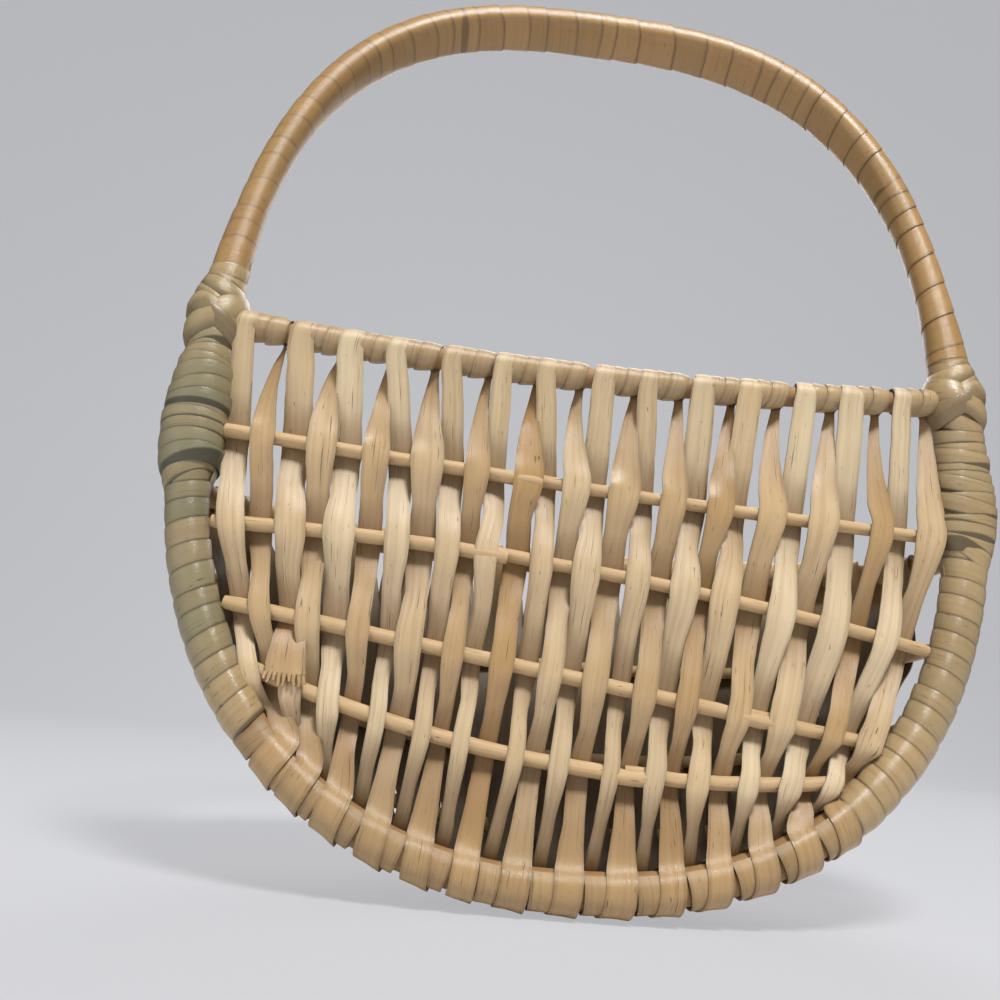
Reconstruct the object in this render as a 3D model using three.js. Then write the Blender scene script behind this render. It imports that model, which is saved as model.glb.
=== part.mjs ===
// A half-moon wall basket. One rod is bent into a hoop: its upper arc is the handle, its lower arc the rim.
// Splints are woven over straight sticks for the flat back and over bowed ribs for the pocket.
import * as THREE from 'three';

// Hoop, in millimetres. Heights start at the middle of the rod at the bottom of the rim.
const HOOP_HALF_WIDTH = 96.3;
const WIDEST_HEIGHT = 102.6;
const HANDLE_RISE = 138.4;
const HANDLE_SQUARENESS = 2.76;
const RIM_SQUARENESS = 2.27;
const HANDLE_LEAN = 10;
const RIM_ROD_RADIUS = 3.8;
const HANDLE_ROD_RADIUS = 2.7;
const EAR_HEIGHT = 8;
const HANDLE_TAPER = 28;
const GRIP_HALF_DEPTH = 5.2;

// Flat back: the bar across the top and the sticks below it, each with its height at left, middle and right.
const CROSSBAR_RADIUS = 2.65;
const CROSSBAR_HEIGHT = 122.6;
const CROSSBAR_SAG = 4;
const STICK_RADIUS = 1.7;
const STICK_HEIGHTS = [
  [94.8, 88.9, 85.2],
  [71.7, 68.8, 55.4],
  [53.7, 43.4, 33],
  [38.1, 24.5, 27],
];

// Pocket: its bowed rim and ribs.
const FRONT_RIM_RADIUS = 2.65;
const FRONT_RIM_HEIGHT = 82;
const RUN_BEND = 5;
const BOW_MARGIN = 7;
const POCKET_DEPTH = 58;
const POCKET_FULLNESS = 1.08;
const BELLY_TAPER = 0.35;
const BELLY_RISE = 0.06;
const RIB_RADIUS = 1.6;
const RIB_LEVELS = [0.23, 0.48, 0.74];
const RIB_END_RISE = 1;
const RIB_OVERHANG = 0.8;

// Splints and bindings.
const PAIRS = 14;
const STRIP_THICKNESS = 0.6;
const STRIP_GAP = 0.7;
const CROSSING_GAP = 1.1;
const EDGE_MARGIN = 3.8;
const END_MARGIN = 1.2;
const RIM_SLOT_SPAN = 70;
const RIM_SLOT_SHIFT = -6;
const TWIST_AT_BAR = 1.3;
const TWIST_AT_RIM = 0.8;
const SHOWN_WIDTH = 1.04;
const HIDDEN_WIDTH = 0.94;
const RIM_FLAT_SHARE = 1.06;
const RIM_TUCK_SHARE = 0.62;
const CROSSING_WIDTH = 0.87;
const HANDLE_TURNS = 24;
const SIDE_PITCH = 6.4;
const SIDE_GAP = 0.9;
const SIDE_LAYER = 1.0;
const CLEARANCE = 0.3;
const BEND_ALLOWANCE = 0.3;
const BOW_ALLOWANCE = 0.2;

const SLOTS = 2 * PAIRS;
const SLOT_CENTRE = (SLOTS - 1) / 2;
const WRAP_STEP = 40;
const WINDING_STEPS = 10;
const ROD_SIDES = 10;
const STICK_SIDES = 8;
const RIB_SIDES = 6;
const CROSSBAR_SPANS = 10;
const STICK_SPANS = 8;
const FRONT_RIM_SPANS = 60;
const RIB_SPANS = 33;
const RUN_FADE = 2;
const REACH_STEP = 0.2;
const TIGHT_LOOP = CLEARANCE + STRIP_THICKNESS;
const MID_LAYER = CLEARANCE + STRIP_THICKNESS / 2;
const FORWARD = new THREE.Vector3(0, 1, 0);
const UP = new THREE.Vector3(0, 0, 1);

const radians = THREE.MathUtils.degToRad;
const mix = THREE.MathUtils.lerp;
const smooth = THREE.MathUtils.smoothstep;
const vector = (x, y, z) => new THREE.Vector3(x, y, z);
const slotShare = (slot) => (slot - SLOT_CENTRE) / SLOT_CENTRE;
const rimArc = (share) => RIM_SLOT_SPAN * share + RIM_SLOT_SHIFT;
const rounded = (value, power) => Math.sign(value) * Math.abs(value) ** (2 / power);

function closedGeometry(rings, isLoop) {
  const sides = rings[0].length;
  const faces = [];
  const spans = isLoop ? rings.length : rings.length - 1;
  for (let ring = 0; ring < spans; ring += 1) {
    const here = ring * sides;
    const there = ((ring + 1) % rings.length) * sides;
    for (let side = 0; side < sides; side += 1) {
      const next = (side + 1) % sides;
      faces.push(here + side, here + next, there + next);
      faces.push(here + side, there + next, there + side);
    }
  }
  if (!isLoop) {
    const end = (rings.length - 1) * sides;
    for (let side = 1; side < sides - 1; side += 1) {
      faces.push(0, side + 1, side);
      faces.push(end, end + side, end + side + 1);
    }
  }
  const points = rings.flat();
  let volume = 0;
  for (let face = 0; face < faces.length; face += 3) {
    const [a, b, c] = [0, 1, 2].map((corner) => points[faces[face + corner]]);
    volume += a.dot(b.clone().cross(c));
  }
  if (volume < 0) {
    faces.reverse();
  }
  const geometry = new THREE.BufferGeometry();
  const values = points.flatMap((point) => point.toArray());
  geometry.setAttribute('position', new THREE.Float32BufferAttribute(values, 3));
  geometry.setIndex(faces);
  geometry.computeVertexNormals();
  return geometry;
}

function roundRod(curve, radius, spans, sides) {
  const frames = curve.computeFrenetFrames(spans, false);
  const rings = frames.tangents.map((tangent, index) => {
    const centre = curve.getPointAt(index / spans);
    return Array.from({ length: sides }, (_, side) => {
      const angle = (2 * Math.PI * (side + 0.5)) / sides;
      return centre.clone()
        .addScaledVector(frames.normals[index], radius * Math.cos(angle))
        .addScaledVector(frames.binormals[index], radius * Math.sin(angle));
    });
  });
  return closedGeometry(rings, false);
}

// A flat strip through stations. One with a face lies on a rod; the others take their face from the path.
function ribbon(stations) {
  const last = stations.length - 1;
  const rings = stations.map((station, index) => {
    const ahead = stations[Math.min(index + 1, last)].at;
    const behind = stations[Math.max(index - 1, 0)].at;
    const along = ahead.clone().sub(behind).normalize();
    const across = station.across.clone();
    let face = along.clone().cross(across);
    if (station.face) {
      face = station.face.clone().multiplyScalar(Math.sign(face.dot(station.face)));
    } else {
      across.addScaledVector(along, -along.dot(across)).normalize();
      across.applyAxisAngle(along, station.twist ?? 0);
      face = along.clone().cross(across);
    }
    return [[1, 1], [-1, 1], [-1, -1], [1, -1]].map(([sideways, outward]) => station.at.clone()
      .addScaledVector(across, (sideways * station.width) / 2)
      .addScaledVector(face, (outward * STRIP_THICKNESS) / 2));
  });
  return closedGeometry(rings, false);
}

// Hoop.
const HOOP_POINTS = 96;
const hoop = new THREE.CatmullRomCurve3(
  Array.from({ length: HOOP_POINTS }, (_, index) => {
    const angle = (2 * Math.PI * index) / HOOP_POINTS - Math.PI / 2;
    const isHandle = Math.sin(angle) > 0;
    const power = isHandle ? HANDLE_SQUARENESS : RIM_SQUARENESS;
    const rise = isHandle ? HANDLE_RISE : WIDEST_HEIGHT;
    const height = rise * rounded(Math.sin(angle), power);
    const lean = isHandle ? HANDLE_LEAN * (height / HANDLE_RISE) ** 2 : 0;
    return vector(HOOP_HALF_WIDTH * rounded(Math.cos(angle), power), lean, WIDEST_HEIGHT + height);
  }),
  true,
);
hoop.arcLengthDivisions = 1200;
const HOOP_LENGTH = hoop.getLength();

function hoopFrame(arc) {
  const share = (((arc / HOOP_LENGTH) % 1) + 1) % 1;
  const along = hoop.getTangentAt(share);
  const inward = along.clone().cross(FORWARD).normalize();
  return { centre: hoop.getPointAt(share), along, inward, forward: inward.clone().cross(along) };
}

function arcAtHeight(height) {
  let low = 0;
  let high = HOOP_LENGTH / 2;
  while (high - low > 0.001) {
    const middle = (low + high) / 2;
    if (hoopFrame(middle).centre.z < height) {
      low = middle;
    } else {
      high = middle;
    }
  }
  return low;
}

const TAPER_START = CROSSBAR_HEIGHT + EAR_HEIGHT;
const TAPER_END = TAPER_START + HANDLE_TAPER;

function rodHalfSizes(height) {
  const radius = mix(RIM_ROD_RADIUS, HANDLE_ROD_RADIUS, smooth(height, TAPER_START, TAPER_END));
  const grip = smooth(height, TAPER_END, WIDEST_HEIGHT + HANDLE_RISE);
  return { lateral: radius, depth: mix(radius, GRIP_HALF_DEPTH, grip) };
}

const HOOP_RINGS = 72;
const hoopRings = Array.from({ length: HOOP_RINGS }, (_, ring) => {
  const frame = hoopFrame((HOOP_LENGTH * ring) / HOOP_RINGS);
  const half = rodHalfSizes(frame.centre.z);
  return Array.from({ length: ROD_SIDES }, (_, side) => {
    const angle = (2 * Math.PI * (side + 0.5)) / ROD_SIDES;
    return frame.centre.clone()
      .addScaledVector(frame.forward, half.depth * Math.cos(angle))
      .addScaledVector(frame.inward, half.lateral * Math.sin(angle));
  });
});

// Flat strips wound round the hoop.
const FORWARD_TURN = 0.75;
const BAR_ARC = arcAtHeight(CROSSBAR_HEIGHT);
const FRONT_ARC = arcAtHeight(FRONT_RIM_HEIGHT);
const SIDE_WIDTH = SIDE_PITCH - SIDE_GAP;
const PAST_BAR = CROSSBAR_RADIUS + CLEARANCE + SIDE_WIDTH / 2 + CLEARANCE;
const PAST_FRONT_RIM = FRONT_RIM_RADIUS + SIDE_WIDTH / 2 + 5 * CLEARANCE;
const RUN_TOP_ARC = BAR_ARC - PAST_BAR - SIDE_PITCH;
const RIM_PITCH = RIM_SLOT_SPAN / SLOT_CENTRE;
const sideEndArc = (hand) => RIM_PITCH * PAIRS + hand * RIM_SLOT_SHIFT + SIDE_PITCH + STRIP_GAP;

function sharedRun(arc) {
  const below = smooth(arc, FRONT_ARC - PAST_FRONT_RIM, FRONT_ARC + PAST_FRONT_RIM);
  return below * (1 - smooth(arc, RUN_TOP_ARC + RUN_FADE, BAR_ARC - PAST_BAR + RUN_FADE / 2));
}

function bindingReach(arc) {
  const height = hoopFrame(arc).centre.z;
  const half = rodHalfSizes(height);
  const shared = sharedRun(Math.abs(arc));
  const slack = CLEARANCE + BEND_ALLOWANCE * smooth(height, TAPER_START, TAPER_END);
  return {
    lateral: half.lateral + slack + SIDE_LAYER * shared,
    wallward: half.depth + slack,
    roomward: half.depth + slack + (2 * FRONT_RIM_RADIUS + 4 * CLEARANCE) * shared,
  };
}

function windingPoint(arc, angle, layer) {
  const frame = hoopFrame(arc);
  const reach = bindingReach(arc);
  const depth = Math.cos(angle) > 0 ? reach.roomward : reach.wallward;
  return frame.centre.clone()
    .addScaledVector(frame.forward, (depth + layer) * Math.cos(angle))
    .addScaledVector(frame.inward, (reach.lateral + layer) * Math.sin(angle));
}

function winding(name, turns, width, arcAt) {
  const steps = Math.round(turns * WINDING_STEPS);
  const rings = Array.from({ length: steps + 1 }, (_, step) => {
    const angle = Math.PI / 2 + (2 * Math.PI * (step + 0.5)) / WINDING_STEPS;
    const arc = arcAt(step / WINDING_STEPS);
    return [[1, 1], [-1, 1], [-1, 0], [1, 0]].map(([sideways, outer]) => (
      windingPoint(arc + (sideways * width) / 2, angle, outer * STRIP_THICKNESS)));
  });
  const straightEnd = (end, before) => end.map((corner, index) => (
    corner.clone().add(corner.clone().sub(before[index]).setLength(STRIP_THICKNESS))));
  let leastGap = Infinity;
  for (let step = WINDING_STEPS; step <= steps; step += 1) {
    for (const corner of rings[step]) {
      for (const other of rings[step - WINDING_STEPS]) {
        leastGap = Math.min(leastGap, corner.distanceTo(other));
      }
    }
  }
  console.log(`${name}: ${turns.toFixed(2)} turns, least gap between turns ${leastGap.toFixed(2)} mm`);
  rings.unshift(straightEnd(rings[0], rings[1]));
  rings.push(straightEnd(rings[rings.length - 1], rings[rings.length - 2]));
  return closedGeometry(rings, false);
}

// The side binding steps past the bar on the hoop's outer half and past the pocket's rim on its wall half.
const ABOVE_BAR_TURNS = 1;
const BETWEEN = BAR_ARC - FRONT_ARC - PAST_BAR - PAST_FRONT_RIM;
const BETWEEN_TURNS = Math.floor(BETWEEN / SIDE_PITCH - FORWARD_TURN) + FORWARD_TURN;
const TOP_ARC = BAR_ARC + PAST_BAR + SIDE_PITCH * ABOVE_BAR_TURNS;

function sideKnots(endArc) {
  const belowTurns = Math.floor((FRONT_ARC - PAST_FRONT_RIM - endArc) / SIDE_PITCH);
  return [
    { turn: 0, arc: TOP_ARC },
    { turn: ABOVE_BAR_TURNS, arc: BAR_ARC + PAST_BAR, stepsPast: true },
    { turn: ABOVE_BAR_TURNS + 1, arc: BAR_ARC - PAST_BAR },
    { turn: ABOVE_BAR_TURNS + 1 + BETWEEN_TURNS, arc: FRONT_ARC + PAST_FRONT_RIM, stepsPast: true },
    { turn: ABOVE_BAR_TURNS + 2 + BETWEEN_TURNS, arc: FRONT_ARC - PAST_FRONT_RIM },
    { turn: ABOVE_BAR_TURNS + 2 + BETWEEN_TURNS + belowTurns, arc: endArc },
  ];
}

function sideArc(knots, turn) {
  const index = Math.max(knots.findIndex((knot, at) => at > 0 && turn <= knot.turn + 1e-9), 1) - 1;
  const from = knots[index];
  const to = knots[index + 1];
  const share = (turn - from.turn) / (to.turn - from.turn);
  if (!from.stepsPast) {
    return mix(from.arc, to.arc, share);
  }
  const stride = from.arc - to.arc - SIDE_PITCH;
  return from.arc - SIDE_PITCH * share - stride * smooth(share, 0.25, 0.75);
}

function sideBinding(name, hand) {
  const knots = sideKnots(sideEndArc(hand));
  const turns = knots[knots.length - 1].turn;
  return winding(name, turns, SIDE_WIDTH, (turn) => hand * sideArc(knots, turn));
}

const HANDLE_START = TOP_ARC + SIDE_PITCH;
const HANDLE_PITCH = (HOOP_LENGTH - 2 * HANDLE_START) / (HANDLE_TURNS + 1);
const handleArc = (turn) => HANDLE_START + HANDLE_PITCH * (turn + 0.5);

// Flat back.
const BAR_REACH = hoopFrame(BAR_ARC).centre.x - RIM_ROD_RADIUS - CLEARANCE;
const BAR_PITCH = (2 * BAR_REACH - 2 * END_MARGIN + STRIP_GAP) / (SLOTS + 0.5);
const barHeight = (x) => CROSSBAR_HEIGHT - CROSSBAR_SAG * (1 - (x / BAR_REACH) ** 2);
const crossbar = new THREE.CatmullRomCurve3(
  [-1, -0.6, -0.2, 0.2, 0.6, 1].map((share) => vector(share * BAR_REACH, 0, barHeight(share * BAR_REACH))),
);

const sideX = (height) => hoopFrame(arcAtHeight(height)).centre.x;
const stickHeight = ([left, middle, right], x) => {
  const share = x / sideX(middle);
  return middle + ((right - left) / 2) * share + ((left + right) / 2 - middle) * share ** 2;
};
const hoopSamples = hoop.getSpacedPoints(480);

function stickEnd(heights, side) {
  const isClear = (x) => {
    const z = stickHeight(heights, x);
    const needed = bindingReach(arcAtHeight(z)).lateral + STRIP_THICKNESS + CLEARANCE;
    return [-STICK_RADIUS, STICK_RADIUS].every((offset) => (
      hoopSamples.every((point) => Math.hypot(point.x - x, point.z - z - offset) > needed)));
  };
  let reach = 0;
  while (isClear(side * (reach + REACH_STEP))) {
    reach += REACH_STEP;
  }
  return side * reach;
}

const rows = STICK_HEIGHTS.map((heights) => {
  const left = stickEnd(heights, -1);
  const right = stickEnd(heights, 1);
  const pitch = (right - left - 2 * EDGE_MARGIN) / (SLOTS - 1);
  const slotX = (slot) => left + EDGE_MARGIN + pitch * slot;
  const curve = new THREE.CatmullRomCurve3(
    [0, 0.2, 0.4, 0.6, 0.8, 1].map((share) => mix(left, right, share)).map((x) => (
      vector(x, 0, stickHeight(heights, x)))),
  );
  return { heights, slotX, curve, pitch };
});

const RIM_FLAT_WIDTH = RIM_PITCH * RIM_FLAT_SHARE;
const RIM_HUMP_WIDTH = 2 * RIM_PITCH - RIM_FLAT_WIDTH - STRIP_GAP;
const RIM_TUCK_WIDTH = RIM_PITCH * RIM_TUCK_SHARE;

function rimStation(slot, degrees, width) {
  const frame = hoopFrame(rimArc(slotShare(slot)));
  const face = frame.forward.clone().multiplyScalar(Math.cos(radians(degrees)))
    .addScaledVector(frame.inward, Math.sin(radians(degrees)));
  const at = frame.centre.clone().addScaledVector(face, RIM_ROD_RADIUS + MID_LAYER);
  return { at, across: frame.along, face, width };
}

function barStation(x, degrees) {
  const slope = (2 * CROSSBAR_SAG * x) / BAR_REACH ** 2;
  const across = vector(1, 0, slope).normalize();
  const face = FORWARD.clone().multiplyScalar(Math.cos(radians(degrees)))
    .addScaledVector(across.clone().cross(FORWARD), Math.sin(radians(degrees)));
  const at = vector(x, 0, barHeight(x)).addScaledVector(face, CROSSBAR_RADIUS + MID_LAYER);
  return { at, across, face, width: BAR_PITCH - STRIP_GAP };
}

const halfway = (from, to, share, width, twist) => ({
  at: from.at.clone().lerp(to.at, share),
  across: from.across.clone().lerp(to.across, share),
  width,
  twist,
});

const ROW_OFFSET = STICK_RADIUS + MID_LAYER;
const FLAT_OVER_STICK = 0.7 * STICK_RADIUS;
const CROSSING = (CROSSBAR_RADIUS + MID_LAYER) / (CROSSBAR_RADIUS + MID_LAYER + ROW_OFFSET);

// One pass of a splint from the first stick down to the rim; firstSide is 1 behind that stick, -1 before it.
function backPass(slot, firstSide, rimStations, rimTwist) {
  const onRows = rows.map((row, index) => {
    const x = row.slotX(slot);
    const side = index % 2 === 0 ? firstSide : -firstSide;
    const width = row.pitch * (side < 0 ? SHOWN_WIDTH : HIDDEN_WIDTH);
    return { at: vector(x, side * ROW_OFFSET, stickHeight(row.heights, x)), across: vector(1, 0, 0), width };
  });
  const stations = [];
  onRows.forEach((station, index) => {
    stations.push({ ...station, at: station.at.clone().addScaledVector(UP, FLAT_OVER_STICK) });
    if (index < onRows.length - 1) {
      const width = Math.min(rows[index].pitch, rows[index + 1].pitch) - CROSSING_GAP;
      stations.push({ ...station, at: station.at.clone().addScaledVector(UP, -FLAT_OVER_STICK) });
      stations.push(halfway(station, onRows[index + 1], 0.5, width));
    }
  });
  const lowest = onRows[onRows.length - 1];
  const toRim = rimStations[0].at.clone().sub(lowest.at).setY(0).setLength(STICK_RADIUS);
  const narrow = rimStations[0].width * CROSSING_WIDTH;
  stations.push({ ...lowest, at: lowest.at.clone().add(toRim), width: narrow });
  stations.push(halfway(lowest, rimStations[0], 0.55, narrow, rimTwist));
  return stations.concat(rimStations);
}

function backWeaver(pair) {
  const slot = 2 * pair;
  const barX = BAR_PITCH * (slot - SLOT_CENTRE - 0.25);
  const riserEnd = [50, 20, -10].map((degrees) => rimStation(slot, degrees, RIM_TUCK_WIDTH));
  const fallEnd = [125, 160, 200, 240, 280].map((degrees) => rimStation(slot + 1, degrees, RIM_FLAT_WIDTH));
  const riser = backPass(slot, 1, riserEnd, TWIST_AT_RIM);
  const fall = backPass(slot + 1, -1, fallEnd, 0);
  const wrap = [];
  for (let degrees = 200; degrees >= -360; degrees -= WRAP_STEP) {
    wrap.push(barStation(barX + (BAR_PITCH * (180 - degrees)) / 360, degrees));
  }
  const last = wrap[wrap.length - 1];
  const crossingWidth = rows[0].pitch - STRIP_GAP;
  return ribbon([
    ...riser.reverse(),
    halfway(wrap[0], riser[riser.length - 1], CROSSING, crossingWidth),
    ...wrap,
    halfway(last, fall[0], CROSSING * 0.6, crossingWidth * CROSSING_WIDTH, TWIST_AT_BAR),
    halfway(last, fall[0], CROSSING, crossingWidth * CROSSING_WIDTH, TWIST_AT_BAR * 0.8),
    ...fall,
  ]);
}

// Pocket rim: its ends run up along the hoop inside the side bindings, then it bows out into the room.
const RUN_OFFSET = RIM_ROD_RADIUS + CLEARANCE + FRONT_RIM_RADIUS;
const RUN_TOP = hoopFrame(RUN_TOP_ARC).centre.z;
const BOW_HALF_WIDTH = sideX(FRONT_RIM_HEIGHT);
const BOW_START = RUN_OFFSET + RUN_BEND;
const rightHalf = [RUN_TOP, (RUN_TOP + FRONT_RIM_HEIGHT) / 2].map((height) => (
  vector(sideX(height), RUN_OFFSET, height)));
[0, 22.5, 45, 67.5, 90].forEach((degrees) => {
  const y = RUN_OFFSET + RUN_BEND * (1 - Math.cos(radians(degrees)));
  const z = FRONT_RIM_HEIGHT + RUN_BEND * (1 - Math.sin(radians(degrees)));
  rightHalf.push(vector(sideX(z), y, z));
});
[75, 60, 45, 30, 15].forEach((degrees) => {
  const y = BOW_START + (POCKET_DEPTH - BOW_START) * Math.cos(radians(degrees));
  rightHalf.push(vector(BOW_HALF_WIDTH * Math.sin(radians(degrees)), y, FRONT_RIM_HEIGHT));
});
const leftHalf = rightHalf.map((point) => vector(-point.x, point.y, point.z));
const frontRim = new THREE.CatmullRomCurve3(
  [...leftHalf, vector(0, POCKET_DEPTH, FRONT_RIM_HEIGHT), ...rightHalf.reverse()],
);
frontRim.arcLengthDivisions = 800;
const FRONT_LENGTH = frontRim.getLength();
const FRONT_END = RUN_TOP - FRONT_RIM_HEIGHT + BOW_MARGIN;
const FRONT_PITCH = (FRONT_LENGTH - 2 * FRONT_END + STRIP_GAP) / (SLOTS + 0.5);

function frontStation(arc, degrees) {
  const share = 0.5 + arc / FRONT_LENGTH;
  const across = frontRim.getTangentAt(share);
  const outward = UP.clone().cross(across).normalize();
  const face = outward.clone().multiplyScalar(Math.cos(radians(degrees)))
    .addScaledVector(across.clone().cross(outward), Math.sin(radians(degrees)));
  const at = frontRim.getPointAt(share).addScaledVector(face, FRONT_RIM_RADIUS + MID_LAYER + BOW_ALLOWANCE);
  return { at, across, face, width: FRONT_PITCH - STRIP_GAP };
}

// The pocket's middle surface: share runs across, level from the pocket's rim down to the hoop.
function pocketPoint(share, level) {
  const top = frontRim.getPointAt(0.5 + (FRONT_PITCH * SLOT_CENTRE * share) / FRONT_LENGTH);
  const low = hoopFrame(rimArc(share)).centre;
  const belly = vector(
    mix(top.x, low.x, BELLY_TAPER),
    top.y * POCKET_FULLNESS,
    mix(low.z, top.z, BELLY_RISE),
  );
  return top.multiplyScalar((1 - level) ** 2)
    .addScaledVector(belly, 2 * level * (1 - level))
    .addScaledVector(low, level ** 2);
}

function pocketStation(slot, level, side) {
  const share = slotShare(slot);
  const step = 0.5 / SLOT_CENTRE;
  const across = pocketPoint(share + step, level).sub(pocketPoint(share - step, level));
  const down = pocketPoint(share, level + 0.02).sub(pocketPoint(share, level - 0.02));
  const pitch = across.length();
  const outward = across.clone().cross(down).normalize();
  const offset = side * (RIB_RADIUS + MID_LAYER + BOW_ALLOWANCE);
  const at = pocketPoint(share, level).addScaledVector(outward, offset);
  const widths = { '-1': pitch * HIDDEN_WIDTH, 0: pitch - STRIP_GAP, 1: pitch };
  return { at, across: across.normalize(), width: widths[side] };
}

const FRONT_CROSSING = (FRONT_RIM_RADIUS + MID_LAYER) / (FRONT_RIM_RADIUS + RIB_RADIUS + 2 * MID_LAYER);

function pocketPass(slot, firstSide, rimStations) {
  const stations = [pocketStation(slot, RIB_LEVELS[0] * FRONT_CROSSING, 0)];
  RIB_LEVELS.forEach((level, index) => {
    const side = index % 2 === 0 ? firstSide : -firstSide;
    const next = RIB_LEVELS[index + 1] ?? 1;
    stations.push(pocketStation(slot, level, side));
    stations.push(pocketStation(slot, (level + next) / 2, 0));
  });
  stations[stations.length - 1].width = rimStations[0].width;
  return stations.concat(rimStations);
}

function frontWeaver(pair) {
  const slot = 2 * pair;
  const start = FRONT_PITCH * (slot - SLOT_CENTRE - 0.25);
  const riserEnd = [-80, -120, -160, -200, -235].map((degrees) => (
    rimStation(slot, degrees, RIM_HUMP_WIDTH)));
  const fallEnd = [20, 55, 90].map((degrees) => rimStation(slot + 1, degrees, RIM_PITCH - STRIP_GAP));
  const wrap = [];
  for (let degrees = -20; degrees <= 540; degrees += WRAP_STEP) {
    wrap.push(frontStation(start + (FRONT_PITCH * degrees) / 360, degrees));
  }
  return ribbon([
    ...pocketPass(slot, -1, riserEnd).reverse(),
    ...wrap,
    ...pocketPass(slot + 1, 1, fallEnd),
  ]);
}

// A rib follows the pocket's middle surface. The upper ribs end against the side bindings, the lowest one
// under the outermost splints.
function ribCurve(level) {
  const points = Array.from({ length: SLOTS }, (_, slot) => pocketPoint(slotShare(slot), level));
  points.unshift(pocketPoint(slotShare(-RIB_OVERHANG), level));
  points.push(pocketPoint(slotShare(SLOTS - 1 + RIB_OVERHANG), level));
  if (level === RIB_LEVELS[RIB_LEVELS.length - 1]) {
    return new THREE.CatmullRomCurve3(points);
  }
  const endBy = (point) => {
    const arc = Math.sign(point.x) * arcAtHeight(point.z + RIB_END_RISE);
    const offset = bindingReach(arc).roomward + STRIP_THICKNESS + CLEARANCE + RIB_RADIUS;
    return hoopFrame(arc).centre.clone().addScaledVector(FORWARD, offset);
  };
  return new THREE.CatmullRomCurve3([endBy(points[0]), ...points, endBy(points[points.length - 1])]);
}

const COLOURS = {
  rod: 0xa98a5c,
  splint_pale: 0xd3bf99,
  splint_tan: 0xbd9f6e,
  stick: 0xcdb68c,
  handle_wrap: 0xb4966a,
  side_wrap: 0x9c9068,
};

const basket = new THREE.Group();

function add(name, geometry, colour) {
  const material = new THREE.MeshStandardMaterial({ color: COLOURS[colour], roughness: 0.7 });
  const mesh = new THREE.Mesh(geometry, material);
  mesh.name = name;
  basket.add(mesh);
}

add('hoop_rod', closedGeometry(hoopRings, true), 'rod');
const HANDLE_WIDTH = HANDLE_PITCH - SIDE_GAP;
add('handle_binding', winding('handle_binding', HANDLE_TURNS, HANDLE_WIDTH, handleArc), 'handle_wrap');
add('side_binding_right', sideBinding('side_binding_right', 1), 'side_wrap');
add('side_binding_left', sideBinding('side_binding_left', -1), 'side_wrap');
add('crossbar', roundRod(crossbar, CROSSBAR_RADIUS, CROSSBAR_SPANS, ROD_SIDES), 'rod');
rows.forEach((row, index) => {
  const stick = roundRod(row.curve, STICK_RADIUS, STICK_SPANS, STICK_SIDES);
  add(`back_stick_${index + 1}`, stick, 'stick');
});
add('front_rim', roundRod(frontRim, FRONT_RIM_RADIUS, FRONT_RIM_SPANS, STICK_SIDES), 'rod');
RIB_LEVELS.forEach((level, index) => {
  const rib = roundRod(ribCurve(level), RIB_RADIUS, RIB_SPANS, RIB_SIDES);
  add(`front_rib_${index + 1}`, rib, 'stick');
});
const label = (number) => String(number).padStart(2, '0');
for (let pair = 0; pair < PAIRS; pair += 1) {
  add(`back_weaver_${label(pair + 1)}`, backWeaver(pair), 'splint_pale');
  add(`front_weaver_${label(pair + 1)}`, frontWeaver(pair), 'splint_tan');
}

// The origin is where the handle hangs: the underside of its top.
const HANG_HEIGHT = WIDEST_HEIGHT + HANDLE_RISE - HANDLE_ROD_RADIUS - TIGHT_LOOP - BEND_ALLOWANCE;
basket.children.forEach((mesh) => mesh.geometry.translate(0, -HANDLE_LEAN, -HANG_HEIGHT));

export default basket;
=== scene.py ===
# A half-moon wall basket: a bent hoop with a bound handle, a flat back of splints woven over straight sticks,
# and a bowed pocket of splints woven over ribs. Sizes are in millimetres until a mesh is made.
import math
from collections import namedtuple

import bpy
import numpy as np
from mathutils import Matrix, Vector


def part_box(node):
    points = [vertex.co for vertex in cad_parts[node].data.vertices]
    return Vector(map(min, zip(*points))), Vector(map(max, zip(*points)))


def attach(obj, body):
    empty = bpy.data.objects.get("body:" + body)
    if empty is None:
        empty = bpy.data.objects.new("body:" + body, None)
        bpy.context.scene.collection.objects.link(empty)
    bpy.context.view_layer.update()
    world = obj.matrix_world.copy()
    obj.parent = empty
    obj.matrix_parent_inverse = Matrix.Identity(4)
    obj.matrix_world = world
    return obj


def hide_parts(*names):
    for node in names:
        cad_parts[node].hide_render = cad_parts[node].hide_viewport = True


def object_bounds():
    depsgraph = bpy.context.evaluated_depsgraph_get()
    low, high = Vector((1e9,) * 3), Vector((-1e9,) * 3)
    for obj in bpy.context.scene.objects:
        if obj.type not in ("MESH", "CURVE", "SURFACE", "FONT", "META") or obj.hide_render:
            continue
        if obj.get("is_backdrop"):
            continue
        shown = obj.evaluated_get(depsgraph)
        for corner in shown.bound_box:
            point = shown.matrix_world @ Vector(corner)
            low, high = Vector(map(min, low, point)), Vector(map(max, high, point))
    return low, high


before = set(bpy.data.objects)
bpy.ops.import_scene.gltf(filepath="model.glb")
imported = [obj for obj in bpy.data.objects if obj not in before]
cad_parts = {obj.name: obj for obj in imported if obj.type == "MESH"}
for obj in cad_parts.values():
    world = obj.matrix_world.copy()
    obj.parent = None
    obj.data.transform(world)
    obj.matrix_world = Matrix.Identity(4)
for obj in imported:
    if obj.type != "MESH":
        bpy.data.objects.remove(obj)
cad_low, cad_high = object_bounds()


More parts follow.
